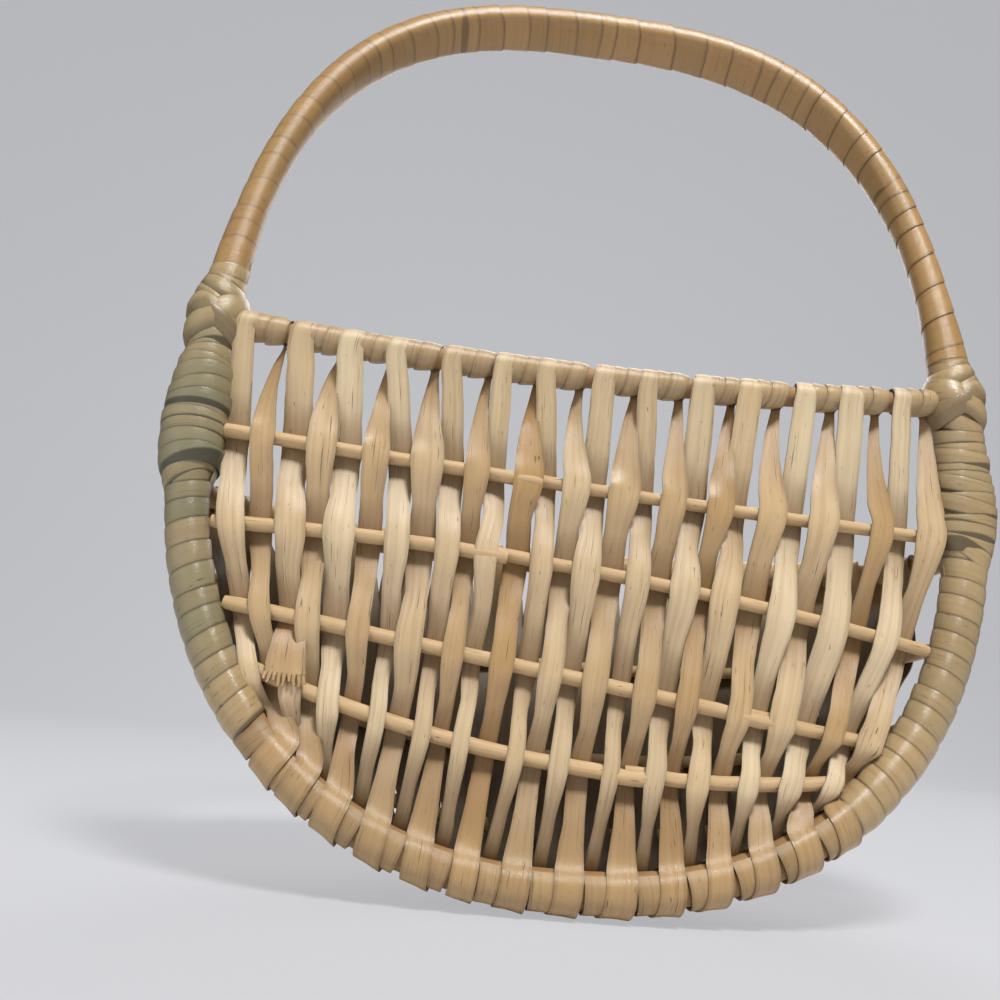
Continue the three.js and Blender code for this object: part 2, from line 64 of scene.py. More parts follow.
# Hoop rod
# One willow rod, peeled and bent round. Its upper arc is the handle and its lower arc the rim.
# It is almost hidden under the wrapping; bare wood shows only between the turns.
HOOP_HALF_WIDTH = 96.3
WIDEST_HEIGHT = 102.6
HANDLE_RISE = 138.4
HANDLE_SQUARENESS = 2.76
RIM_SQUARENESS = 2.27
HANDLE_LEAN = 10.0
HANG_HEIGHT = 237.1
RIM_ROD_RADIUS = 3.8
HANDLE_ROD_RADIUS = 2.7
GRIP_HALF_DEPTH = 5.2
TAPER_START = 130.6
TAPER_END = 158.6
HOOP_STEPS = 6000
HOOP_RINGS = 360
HALF_STEP = 1.5
FORWARD = np.array([0.0, 1.0, 0.0])


def smooth(value, start, end):
    share = np.clip((value - start) / (end - start), 0, 1)
    return share * share * (3 - 2 * share)


def unit(vectors):
    return vectors / np.linalg.norm(vectors, axis=-1, keepdims=True)


def distances(points):
    """How far each point of a line lies from its start, measured along the line."""
    return np.r_[0, np.cumsum(np.linalg.norm(np.diff(points, axis=0), axis=1))]


def line_at(arcs, points, distance):
    return np.stack([np.interp(distance, arcs, points[:, axis]) for axis in range(3)], -1)


def hoop_line():
    """Points round the hoop from the bottom of the rim, first towards +X, and their distance along it."""
    turn = np.linspace(-np.pi / 2, 1.5 * np.pi, HOOP_STEPS + 1)
    handle = np.sin(turn) > 0
    power = np.where(handle, 2 / HANDLE_SQUARENESS, 2 / RIM_SQUARENESS)
    rise = np.where(handle, HANDLE_RISE, WIDEST_HEIGHT)
    x = HOOP_HALF_WIDTH * np.sign(np.cos(turn)) * np.abs(np.cos(turn)) ** power
    z = rise * np.sign(np.sin(turn)) * np.abs(np.sin(turn)) ** power
    lean = np.where(handle, HANDLE_LEAN * (z / HANDLE_RISE) ** 2, 0)
    points = np.stack([x, lean, z + WIDEST_HEIGHT], 1)
    return distances(points), points


HOOP_ARC, HOOP_POINTS = hoop_line()
HOOP_LENGTH = HOOP_ARC[-1]


def hoop_at(arc):
    """Centre of the rod at each distance, and the directions along it, inward and into the room."""
    def place(distance):
        return line_at(HOOP_ARC, HOOP_POINTS, np.mod(distance, HOOP_LENGTH))
    arc = np.asarray(arc, float)
    along = unit(place(arc + HALF_STEP) - place(arc - HALF_STEP))
    inward = unit(np.cross(along, FORWARD))
    return place(arc), along, inward, np.cross(inward, along)


def rod_half_sizes(height):
    radius = RIM_ROD_RADIUS + (HANDLE_ROD_RADIUS - RIM_ROD_RADIUS) * smooth(height, TAPER_START, TAPER_END)
    grip = smooth(height, TAPER_END, WIDEST_HEIGHT + HANDLE_RISE)
    return radius, radius + (GRIP_HALF_DEPTH - radius) * grip


SHARP_DEGREES = 50


def make_piece(name, rings, grain, look, material, is_loop=False):
    """A closed skin over rings of points. Grain holds the place along and across the fibre and a seed;
    look holds the share of skin side, the tone, which also carries painted light and shade, and the stain."""
    rows, sides = rings.shape[:2]
    here = np.arange(rows if is_loop else rows - 1)[:, None] * sides
    there = (here + sides) % (rows * sides)
    side = np.arange(sides)[None, :]
    after = (side + 1) % sides
    quads = np.stack([here + side, here + after, there + after, there + side], -1).reshape(-1, 4)
    faces = quads.tolist()
    if not is_loop:
        faces.append(list(range(sides - 1, -1, -1)))
        faces.append(list(range((rows - 1) * sides, rows * sides)))
    points = (rings.reshape(-1, 3) - np.array([0, HANDLE_LEAN, HANG_HEIGHT])) / 1000
    mesh = bpy.data.meshes.new(name)
    mesh.from_pydata(points.tolist(), [], faces)
    for label, values in (("grain", grain), ("look", look)):
        layer = mesh.attributes.new(label, "FLOAT_VECTOR", "POINT")
        layer.data.foreach_set("vector", np.ascontiguousarray(values.reshape(-1), np.float32))
    mesh.polygons.foreach_set("use_smooth", [True] * len(mesh.polygons))
    mesh.set_sharp_from_angle(angle=math.radians(SHARP_DEGREES))
    mesh.update()
    piece = bpy.data.objects.new(name, mesh)
    bpy.context.scene.collection.objects.link(piece)
    mesh.materials.append(material)
    return piece


ROD_SIDES = 18
ROD_LOOK = (0.5, 1.0, 0.0)
SWELL = 0.035
SWELL_RATES = (0.11, 0.23, 0.37)
END_ROUNDING = 0.86


def make_rod(name, centre, normal, radius, seed, material, depth=None, is_loop=False):
    """A round rod through centre points, a little uneven, with slightly rounded cut ends."""
    rng = np.random.default_rng(seed)
    count = len(centre)
    along = unit(np.gradient(centre, axis=0))
    normal = unit(normal - along * np.sum(normal * along, 1, keepdims=True))
    other = np.cross(along, normal)
    arc = distances(centre)
    waves = sum(np.sin(arc * rate + rng.uniform(0, 6.28)) for rate in SWELL_RATES) / len(SWELL_RATES)
    swell = 1 + (0 if is_loop else SWELL) * waves
    if not is_loop:
        swell[0] *= END_ROUNDING
        swell[-1] *= END_ROUNDING
    depth = radius if depth is None else depth
    turn = 2 * np.pi * np.arange(ROD_SIDES) / ROD_SIDES
    first = (np.asarray(depth) * swell)[:, None, None] * np.cos(turn)[None, :, None] * normal[:, None]
    second = (np.asarray(radius) * swell)[:, None, None] * np.sin(turn)[None, :, None] * other[:, None]
    rings = centre[:, None] + first + second
    around = (turn * np.mean(radius))[None, :]
    grain = np.stack(np.broadcast_arrays(arc[:, None], around, np.full((count, ROD_SIDES), seed * 1.7)), -1)
    look = np.broadcast_to(np.array(ROD_LOOK), (count, ROD_SIDES, 3)).copy()
    return make_piece(name, rings, grain, look, material, is_loop)


def colour(red, green, blue):
    """A colour as seen, 0 to 255, for a shader."""
    def linear(value):
        value /= 255
        return value / 12.92 if value <= 0.04045 else ((value + 0.055) / 1.055) ** 2.4
    return (linear(red), linear(green), linear(blue), 1.0)


STREAK = colour(150, 112, 72)
ORANGE = colour(168, 120, 72)
CRACK_SHADE = (0.25, 0.2, 0.15)
PITH_ROUGHER = 0.18


def fibre_material(name, pith, skin, stain, gloss, cracks=0.55):
    """Split wood with fine fibres along it: a pale pith side, a darker and glossier skin side, brown streaks
    and cracks."""
    material = bpy.data.materials.new(name)
    material.use_nodes = True
    tree = material.node_tree
    shader = tree.nodes["Principled BSDF"]

    def join(source, target):
        tree.links.new(source, target)

    def attribute(label):
        made = tree.nodes.new("ShaderNodeAttribute")
        made.attribute_name = label
        return made.outputs["Vector"]

    def noise(stretch, detail, roughness):
        scaled = tree.nodes.new("ShaderNodeVectorMath")
        scaled.operation = "MULTIPLY"
        scaled.inputs[1].default_value = stretch
        join(grain, scaled.inputs[0])
        made = tree.nodes.new("ShaderNodeTexNoise")
        made.inputs["Scale"].default_value = 1.0
        made.inputs["Detail"].default_value = detail
        made.inputs["Roughness"].default_value = roughness
        join(scaled.outputs[0], made.inputs["Vector"])
        return made.outputs["Fac"]

    def ramp(source, low, high, top):
        made = tree.nodes.new("ShaderNodeMapRange")
        made.inputs["From Min"].default_value = low
        made.inputs["From Max"].default_value = high
        made.inputs["To Max"].default_value = top
        join(source, made.inputs["Value"])
        return made.outputs["Result"]

    def blend(under, over, share, mode="MIX"):
        made = tree.nodes.new("ShaderNodeMix")
        made.data_type = "RGBA"
        made.blend_type = mode
        for value, socket in ((under, made.inputs[6]), (over, made.inputs[7]), (share, made.inputs[0])):
            if isinstance(value, bpy.types.NodeSocket):
                join(value, socket)
            else:
                socket.default_value = value
        return made.outputs[2]

    grain = attribute("grain")
    parts = tree.nodes.new("ShaderNodeSeparateXYZ")
    join(attribute("look"), parts.inputs[0])
    fine = noise(stretch=(0.09, 6.5, 3.1), detail=5.0, roughness=0.65)
    broad = noise(stretch=(0.02, 0.8, 1.7), detail=3.0, roughness=0.5)
    line = noise(stretch=(0.075, 2.6, 2.3), detail=2.0, roughness=0.5)
    speck = noise(stretch=(0.30, 1.5, 5.3), detail=1.5, roughness=0.5)
    dark = (*(value * share for value, share in zip(STREAK, CRACK_SHADE)), 1.0)
    tint = blend(pith, skin, parts.outputs["X"])
    tint = blend(tint, STREAK, ramp(broad, low=0.44, high=0.78, top=0.42))
    tint = blend(tint, stain, parts.outputs["Z"])
    tint = blend(tint, STREAK, ramp(fine, low=0.48, high=0.82, top=0.34))
    tint = blend(tint, dark, ramp(line, low=0.672, high=0.71, top=cracks))
    tint = blend(tint, dark, ramp(speck, low=0.70, high=0.78, top=0.75))
    # The tone multiplies the colour; it holds the pieces' painted light and shade as well as their own tone.
    level = tree.nodes.new("ShaderNodeCombineXYZ")
    for axis in "XYZ":
        join(parts.outputs["Y"], level.inputs[axis])
    tint = blend(tint, level.outputs[0], 1.0, "MULTIPLY")
    join(tint, shader.inputs["Base Color"])
    roughness = tree.nodes.new("ShaderNodeMapRange")
    roughness.inputs["To Min"].default_value = 1 - gloss + PITH_ROUGHER
    roughness.inputs["To Max"].default_value = 1 - gloss
    join(parts.outputs["X"], roughness.inputs["Value"])
    join(roughness.outputs["Result"], shader.inputs["Roughness"])
    bump = tree.nodes.new("ShaderNodeBump")
    bump.inputs["Strength"].default_value = 0.28
    bump.inputs["Distance"].default_value = 0.0004
    join(fine, bump.inputs["Height"])
    join(bump.outputs["Normal"], shader.inputs["Normal"])
    return material


rod_wood = fibre_material("rod_wood", colour(160, 124, 80), colour(150, 114, 72), ORANGE, gloss=0.5)

hoop_arcs = np.linspace(0, HOOP_LENGTH, HOOP_RINGS + 1)[:-1]
hoop_centre, _, _, hoop_forward = hoop_at(hoop_arcs)
lateral, depth = rod_half_sizes(hoop_centre[:, 2])
hoop_rod = make_rod("hoop_rod_wood", hoop_centre, hoop_forward, lateral, 1, rod_wood, depth, is_loop=True)
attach(hoop_rod, "root")
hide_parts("hoop_rod")


# Crossbar
# A peeled willow rod across the top of the flat back. Its ends are cut and butted against the hoop,
# where the side bindings hold them; the splints are wound round it from end to end.
CROSSBAR_RADIUS = 2.65
CROSSBAR_HEIGHT = 122.6
CROSSBAR_SAG = 4.0
BAR_REACH = 92.03
BAR_RINGS = 80


def bar_height(x):
    return CROSSBAR_HEIGHT - CROSSBAR_SAG * (1 - (x / BAR_REACH) ** 2)


def level_line(x, height):
    return np.stack([x, np.zeros_like(x), height], 1)


bar_x = np.linspace(-BAR_REACH, BAR_REACH, BAR_RINGS)
bar_line = level_line(bar_x, bar_height(bar_x))
crossbar = make_rod("crossbar_wood", bar_line, FORWARD, CROSSBAR_RADIUS, 2, rod_wood)
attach(crossbar, "root")
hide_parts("crossbar")


# Back sticks
# Four rows of thin willow sticks, peeled pale, cut with a knife and pushed in between the splints.
# Each row is pieced from two sticks that lie side by side where they meet.
STICK_RADIUS = 1.7
STICK_RINGS = 60
STICK_PARTS = (1.0, 0.93)
# The height of each row at its left end, in the middle and at its right end.
STICK_HEIGHTS = ((94.8, 88.9, 85.2), (71.7, 68.8, 55.4), (53.7, 43.4, 33.0), (38.1, 24.5, 27.0))
# Where each row's left stick ends and its right stick starts.
STICK_JOINS = ((-12.0, -16.5), (-19.0, -23.5), (44.0, 39.0), (16.0, 11.0))
JOIN_FADE = 8
JOIN_ASIDE = 0.9
JOIN_LIFT = 0.5
stick_wood = fibre_material("stick_wood", colour(204, 174, 130), colour(190, 158, 112), ORANGE, gloss=0.5)


def side_x(height):
    right = HOOP_POINTS[: len(HOOP_POINTS) // 2]
    return np.interp(height, right[:, 2], right[:, 0])


def stick_height(row, x):
    left, middle, right = STICK_HEIGHTS[row]
    share = x / side_x(middle)
    return middle + (right - left) / 2 * share + ((left + right) / 2 - middle) * share ** 2


stick_ends = []
for row in range(len(STICK_HEIGHTS)):
    low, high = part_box(f"back_stick_{row + 1}")
    left, right = low.x * 1000, high.x * 1000
    stick_ends.append((left, right))
    join_left, join_right = STICK_JOINS[row]
    for part, (start, end) in enumerate(((left, join_left), (join_right, right))):
        x = np.linspace(start, end, STICK_RINGS)
        line = level_line(x, stick_height(row, x))
        overlap = smooth(x, join_right - JOIN_FADE, join_right)
        overlap = overlap * (1 - smooth(x, join_left, join_left + JOIN_FADE))
        line[:, 1] += (JOIN_ASIDE if part else -JOIN_ASIDE) * overlap
        line[:, 2] += (JOIN_LIFT if part else -JOIN_LIFT) * overlap
        thick = STICK_RADIUS * STICK_PARTS[part]
        stick = make_rod(f"back_stick_{row + 1}_{'ab'[part]}", line, FORWARD, thick, 10 + 2 * row + part,
                         stick_wood)
        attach(stick, "root")
        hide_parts(f"back_stick_{row + 1}")


# Pocket rim
# A bowed willow rod, lower than the crossbar. Its ends turn up and run along the hoop, where the side
# bindings hold them; the pocket's splints are wound round it from side to side.
FRONT_RIM_RADIUS = 2.65
FRONT_RIM_HEIGHT = 82.0
RUN_BEND = 5.0
POCKET_DEPTH = 58.0
RUN_OFFSET = 6.75
RUN_TOP = 110.2
BEND_DEGREES = (0, 22.5, 45, 67.5, 90)
BOW_DEGREES = (75, 60, 45, 30, 15)
FRONT_STEPS = 1200
STEPS_PER_RING = 6
UPWARD = np.array([0.0, 0.0, 1.0])


def flow(knots, values, at):
    """A smooth curve through values at the knots."""
    knots = np.asarray(knots, float)
    values = np.asarray(values, float)
    slopes = np.gradient(values, knots, axis=0)
    low = np.clip(np.searchsorted(knots, at) - 1, 0, len(knots) - 2)
    span = knots[low + 1] - knots[low]
    t = (at - knots[low]) / span
    if values.ndim > 1:
        t = t[:, None]
        span = span[:, None]
    start = (1 + 2 * t) * (1 - t) ** 2 * values[low] + t * (1 - t) ** 2 * span * slopes[low]
    end = t * t * (3 - 2 * t) * values[low + 1] + t * t * (t - 1) * span * slopes[low + 1]
    return start + end


def front_rim_line():
    """Points along the pocket's rim from left to right, and their distance from its middle."""
    right = [(side_x(z), RUN_OFFSET, z) for z in (RUN_TOP, (RUN_TOP + FRONT_RIM_HEIGHT) / 2)]
    for turn in np.radians(BEND_DEGREES):
        z = FRONT_RIM_HEIGHT + RUN_BEND * (1 - math.sin(turn))
        right.append((side_x(z), RUN_OFFSET + RUN_BEND * (1 - math.cos(turn)), z))
    start = RUN_OFFSET + RUN_BEND
    for turn in np.radians(BOW_DEGREES):
        y = start + (POCKET_DEPTH - start) * math.cos(turn)
        right.append((side_x(FRONT_RIM_HEIGHT) * math.sin(turn), y, FRONT_RIM_HEIGHT))
    left = [(-x, y, z) for x, y, z in right]
    knots = np.array(left + [(0, POCKET_DEPTH, FRONT_RIM_HEIGHT)] + right[::-1])
    steps = distances(knots)
    points = flow(steps, knots, np.linspace(0, steps[-1], FRONT_STEPS))
    arc = distances(points)
    return arc - arc[-1] / 2, points


FRONT_ARC, FRONT_POINTS = front_rim_line()


def front_at(arc):
    """Centre of the pocket's rim at each distance, and the directions along it, outward and upward."""
    def place(distance):
        return line_at(FRONT_ARC, FRONT_POINTS, distance)
    arc = np.asarray(arc, float)
    along = unit(place(arc + HALF_STEP) - place(arc - HALF_STEP))
    outward = unit(np.cross(UPWARD, along))
    return place(arc), along, outward, np.cross(along, outward)


rim_line = FRONT_POINTS[::STEPS_PER_RING]
upright = np.abs(unit(np.gradient(rim_line, axis=0))[:, 2:])
rim_normal = UPWARD * (1 - upright) + FORWARD * upright
front_rim = make_rod("pocket_rim_wood", rim_line, rim_normal, FRONT_RIM_RADIUS, 21, rod_wood)
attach(front_rim, "root")
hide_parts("front_rim")


# Pocket ribs
# Three bowed willow sticks round the pocket, peeled pale and held by the weave. The upper two end against the
# side bindings, the lowest one under the outermost splints.
RIB_RADIUS = 1.6
RIB_LEVELS = (0.23, 0.48, 0.74)
RIB_OVERHANG = 0.8
RIB_KNOTS = 40
RIB_RINGS = 140
RIB_END_RISE = 1
RIB_END_CLEARANCE = 2.5
BOUND_RIBS = 2
POCKET_FULLNESS = 1.08
BELLY_TAPER = 0.35
BELLY_RISE = 0.06
RIM_SLOT_SPAN = 70.0
RIM_SLOT_SHIFT = -6.0
SLOTS = 28
SLOT_CENTRE = 13.5
FRONT_PITCH = 7.76
SIDE_LAYER = 1.0
BINDING_SLACK = 0.3
HANDLE_SLACK = 0.3
RUN_SWELL = 6.5


def slot_share(slot):
    return (slot - SLOT_CENTRE) / SLOT_CENTRE


def pocket_point(share, level):
    """The pocket's middle surface: share runs across, level from its rim down to the hoop."""
    share = np.asarray(share, float)
    level = np.asarray(level, float)[..., None]
    top = front_at(FRONT_PITCH * SLOT_CENTRE * share)[0]
    low = hoop_at(RIM_SLOT_SPAN * share + RIM_SLOT_SHIFT)[0]
    belly = np.stack([top[..., 0] + (low[..., 0] - top[..., 0]) * BELLY_TAPER, top[..., 1] * POCKET_FULLNESS,
                      low[..., 2] + (top[..., 2] - low[..., 2]) * BELLY_RISE], -1)
    return top * (1 - level) ** 2 + belly * 2 * level * (1 - level) + low * level ** 2


def arc_at_height(height):
    half = len(HOOP_POINTS) // 2
    return float(np.interp(height, HOOP_POINTS[:half, 2], HOOP_ARC[:half]))


# The stretch of the hoop that both rods share, and where the binding over it swells and thins.
SHARED_LOW = arc_at_height(FRONT_RIM_HEIGHT)
SHARED_HIGH = arc_at_height(RUN_TOP)
SWELL_START = (SHARED_LOW - 7, SHARED_LOW + 7)
SWELL_END = (SHARED_HIGH + 2, SHARED_HIGH + 9)
LAYER_END = (SHARED_HIGH - 14, SHARED_HIGH + 6)


def binding_reach(arc):
    """How far the binding stands from the rod's middle: sideways, towards the wall and into the room."""
    height = hoop_at(arc)[0][..., 2]
    lateral, depth = rod_half_sizes(height)
    near = np.abs(np.where(arc > HOOP_LENGTH / 2, arc - HOOP_LENGTH, arc))
    shared = smooth(near, *SWELL_START) * (1 - smooth(near, *SWELL_END))
    slack = BINDING_SLACK + HANDLE_SLACK * smooth(height, TAPER_START, TAPER_END)
    tapered = shared * (1 - smooth(near, *LAYER_END))
    return lateral + slack + SIDE_LAYER * tapered, depth + slack, depth + slack + RUN_SWELL * shared


def rib_end(point):
    arc = math.copysign(arc_at_height(point[2] + RIB_END_RISE), point[0])
    centre = hoop_at([arc])[0][0]
    roomward = binding_reach(np.array([arc % HOOP_LENGTH]))[2][0]
    return centre + np.array([0, roomward + RIB_END_CLEARANCE, 0])


for number, level in enumerate(RIB_LEVELS, 1):
    slots = np.linspace(-RIB_OVERHANG, SLOTS - 1 + RIB_OVERHANG, RIB_KNOTS)
    line = pocket_point(slot_share(slots), np.full(RIB_KNOTS, level))
    if number <= BOUND_RIBS:
        line = np.vstack([rib_end(line[0]), line, rib_end(line[-1])])
    steps = distances(line)
    line = flow(steps, line, np.linspace(0, steps[-1], RIB_RINGS))
    rib = make_rod(f"pocket_rib_{number}_wood", line, UPWARD, RIB_RADIUS, 30 + number, stick_wood)
    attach(rib, "root")
    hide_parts(f"front_rib_{number}")


# Back splints
# Long flat strips split from willow, cream on the pith side and tan on the skin side. Each one rises over and
# under the sticks from behind the rim, is wound two and a half times round the crossbar, falls over and under
# the sticks again and is hooked over the rim. The strips turn like slats where they pass each other.
PITH = colour(216, 196, 160)
SKIN = colour(178, 145, 97)
PAIRS = 14
STRIP_THICKNESS = 0.6
STRIP_COLUMNS = 7
STRIP_CUP = 0.035
CUP_LEVEL = 0.4
EDGE_THINNING = 0.45
EDGE_SHADE = 0.28
WEAR = 0.022
WEAR_STEP = 3.0
WEAR_LIMIT = 1.6
LEAST_STEP = 0.05
FIBRE_HALF_WIDTH = 3.5
OTHER_FACE = 40.0
back_fibre = fibre_material("back_splint_fibre", PITH, SKIN, ORANGE, gloss=0.7, cracks=0.75)

# A strip's place, the direction across it, its turn in degrees, and its width, stain, share of skin side and
# the tones of its two faces there; the tones carry painted light and shade.
Station = namedtuple("Station", "place across turn width stain skin upper lower")


def make_strip(name, stations, seed, material, spacing=0.7, tone=1.0):
    """A flat strip through stations, slightly cupped, with uneven edges."""
    rng = np.random.default_rng(seed)
    place = np.array([station.place for station in stations], float)
    across = np.array([station.across for station in stations], float)
    plain = np.array([station[2:] for station in stations], float)
    knots = np.r_[0, np.cumsum(np.maximum(np.linalg.norm(np.diff(place, axis=0), axis=1), LEAST_STEP))]
    count = int(knots[-1] / spacing) + 2
    arc = np.linspace(0, knots[-1], count)
    centre = flow(knots, place, arc)
    turn = flow(knots, plain[:, 0], arc)
    width, stain, skin, upper, lower = (np.interp(arc, knots, column) for column in plain.T[1:])
    along = unit(np.gradient(centre, axis=0))
    sideways = flow(knots, across, arc)
    sideways = unit(sideways - along * np.sum(sideways * along, 1, keepdims=True))
    face = np.cross(along, sideways)
    angle = np.radians(turn)[:, None]
    sideways, face = (sideways * np.cos(angle) + face * np.sin(angle),
                      face * np.cos(angle) - sideways * np.sin(angle))
    worn_at = np.arange(0, arc[-1] + 2 * WEAR_STEP, WEAR_STEP)
    edges = []
    for _ in range(2):
        wear_and_painted_shade = np.interp(arc, worn_at, rng.normal(0, 1, len(worn_at)))
        edges.append(1 + WEAR * wear_and_painted_shade.clip(-WEAR_LIMIT, WEAR_LIMIT))
    share = np.linspace(-1, 1, STRIP_COLUMNS)
    curl = STRIP_CUP * rng.uniform(0.5, 1.5)
    rings = []
    for top in (1, -1):
        for u in share * top:
            edge = edges[0] if u < 0 else edges[1]
            thick = STRIP_THICKNESS / 2 * (1 - EDGE_THINNING * u ** 4)
            lift = curl * width * (u * u - CUP_LEVEL) + top * thick
            rings.append(centre + sideways * (u * width * edge / 2)[:, None] + face * lift[:, None])
    rings = np.stack(rings, 1)
    spread = np.r_[share, -share]
    side = np.r_[np.zeros(STRIP_COLUMNS), np.full(STRIP_COLUMNS, OTHER_FACE)]
    fibre = spread[None, :] * FIBRE_HALF_WIDTH + side
    grain = np.stack(np.broadcast_arrays(arc[:, None], fibre, np.array(seed * 1.37)), -1)
    faces = np.hstack([np.repeat(tones[:, None], STRIP_COLUMNS, 1) for tones in (upper, lower)])
    # Painted shade: the face tones carry painted light and shade, and EDGE_SHADE darkens both edges as a thin
    # painted shadow.
    shade = tone * faces * (1 - EDGE_SHADE * np.abs(spread[None, :]) ** 8)
    look = np.stack(np.broadcast_arrays(skin[:, None], shade, stain[:, None]), -1)
    return make_piece(name, rings, grain, look, material)


RIM_PITCH = RIM_SLOT_SPAN / SLOT_CENTRE
FAN = 0.9
FAN_START = (0, 5)
FAN_END = (9, 22)


def on_rim(slot, degrees, layer):
    """A place on the hoop's rim: 0 faces the room, 90 inward, 180 the wall and 270 outward. The strips fan
    out a little towards the left."""
    slot = slot - FAN * smooth(slot, *FAN_START) * (1 - smooth(slot, *FAN_END))
    arc = RIM_SLOT_SPAN * slot_share(slot) + RIM_SLOT_SHIFT
    centre, along, inward, forward = (found[0] for found in hoop_at([arc]))
    turn = math.radians(degrees)
    outward = forward * math.cos(turn) + inward * math.sin(turn)
    return centre + outward * (RIM_ROD_RADIUS + layer), along


def on_bar(x, degrees, layer):
    turn = math.radians(degrees)
    return np.array([x, (CROSSBAR_RADIUS + layer) * math.cos(turn),
                     bar_height(x) + (CROSSBAR_RADIUS + layer) * math.sin(turn)])


def between(first, second, share):
    return first * (1 - share) + second * share


EDGE_MARGIN = 3.8
COURSE_WANDER = 0.1
ROW_JITTER = 0.65
row_pitches = [(right - left - 2 * EDGE_MARGIN) / (SLOTS - 1) for left, right in stick_ends]


def back_course(slot, bar_x, rng):
    """The heights where a strip passes the sticks, and its course. The strip is stiff, so the course is one
    gentle curve from the crossbar to the rim."""
    rim = on_rim(slot, 180, 0)[0]
    points = [(bar_height(bar_x), bar_x), (rim[2], rim[0])]
    wander = rng.normal(0, COURSE_WANDER)
    for row, (left, _) in enumerate(stick_ends):
        x = left + EDGE_MARGIN + row_pitches[row] * (slot + wander) + rng.normal(0, ROW_JITTER)
        points.append((stick_height(row, x), x))
    return [height for height, _ in points[2:]], np.polyfit(*np.array(points).T, 2)


BAR_PITCH = 6.4
BAR_SHIFT = 0.25
BAR_JITTER = 0.17
BAR_JITTER_LIMIT = 0.28
WRAP_SPAN = 1.5
rng = np.random.default_rng(99)
bar_starts = []
courses = []
for pair in range(PAIRS):
    bar_jitter = float(np.clip(rng.normal(0, BAR_JITTER), -BAR_JITTER_LIMIT, BAR_JITTER_LIMIT))
    bar_starts.append(BAR_PITCH * (2 * pair - SLOT_CENTRE - BAR_SHIFT + bar_jitter))
    courses.append(back_course(2 * pair, bar_starts[-1], rng))
    courses.append(back_course(2 * pair + 1, bar_starts[-1] + WRAP_SPAN * BAR_PITCH, rng))

RIGHTWARD = np.array([1.0, 0.0, 0.0])
# Painted shade on the face of a back strip that is turned into the pocket.
INNER_FACE_PAINTED_SHADE = 0.55
STICK_CLEARANCE = 0.4
PASS_HALF_LENGTH = 1.3
ROW_WIDTHS = (1.02, 1.0, 0.97, 0.88)
MIDDLE_WIDTHS = (0.98, 0.96, 0.93)
# Painted shade on a strip between two sticks.
MIDDLE_PAINTED_SHADE = 0.93
MIDDLE_STAIN = 0.1
SLAT_TURNS = (10, -10, 10)
# How a strip looks where it lies before a stick, on the seen side, and behind one: width, stain and tone.
# The tone is painted light: a little brighter before a stick and painted shade behind it.
SHOWN = (1.04, 0.05, 1.03)
HIDDEN = (0.98, 0.4, 0.66)


def back_pass(slot, first_side, wide, skin, rng):
    """Stations from the first stick down to just above the rim; first_side is 1 behind that stick. Between
    two sticks a strip takes the room that its neighbours leave it."""
    heights, curve = courses[slot]
    # Painted shade on the face turned into the pocket.
    tones = np.array((INNER_FACE_PAINTED_SHADE, 1.0) if first_side > 0 else (1.0, INNER_FACE_PAINTED_SHADE))
    stations = []
    before = None
    for row, height in enumerate(heights):
        side = first_side if row % 2 == 0 else -first_side
        broad, stain, painted_light = SHOWN if side < 0 else HIDDEN
        width = row_pitches[row] * wide * ROW_WIDTHS[row] * rng.uniform(0.95, 1.05)
        place = np.array([np.polyval(curve, height), side * (STICK_RADIUS + STICK_CLEARANCE), height])
        lean = np.array([np.polyval(np.polyder(curve), height), 0, 1])
        if row:
            turn = first_side * (SLAT_TURNS[row - 1] + rng.normal(0, 3))
            middle = (before + place) / 2
            x = np.polyval(curve, middle[2])
            beside = []
            for at in (slot - 1, slot + 1):
                is_woven = 0 <= at < SLOTS
                spaced = x + (at - slot) * row_pitches[row]
                beside.append(np.polyval(courses[at][1], middle[2]) if is_woven else spaced)
            middle[0] = (beside[0] + 2 * x + beside[1]) / 4
            room = (beside[1] - beside[0]) / 2
            narrow = min(room * MIDDLE_WIDTHS[row - 1], width) * rng.uniform(0.95, 1.0)
            stations.append(Station(middle, RIGHTWARD, turn, narrow, MIDDLE_STAIN, skin,
                                    *(tones * MIDDLE_PAINTED_SHADE)))
        before = place
        for offset in (PASS_HALF_LENGTH, -PASS_HALF_LENGTH):
            stations.append(Station(place + lean * offset, RIGHTWARD, rng.normal(0, 2), width * broad,
                                    stain, skin, *(tones * painted_light)))
    return stations


TUCK_WIDTH = RIM_PITCH * 0.6
WRAP_DEGREES = range(200, -721, -20)
DEGREES_PER_PITCH = 600
COIL_WIDTH = 0.74
COIL_SKIN = 0.7
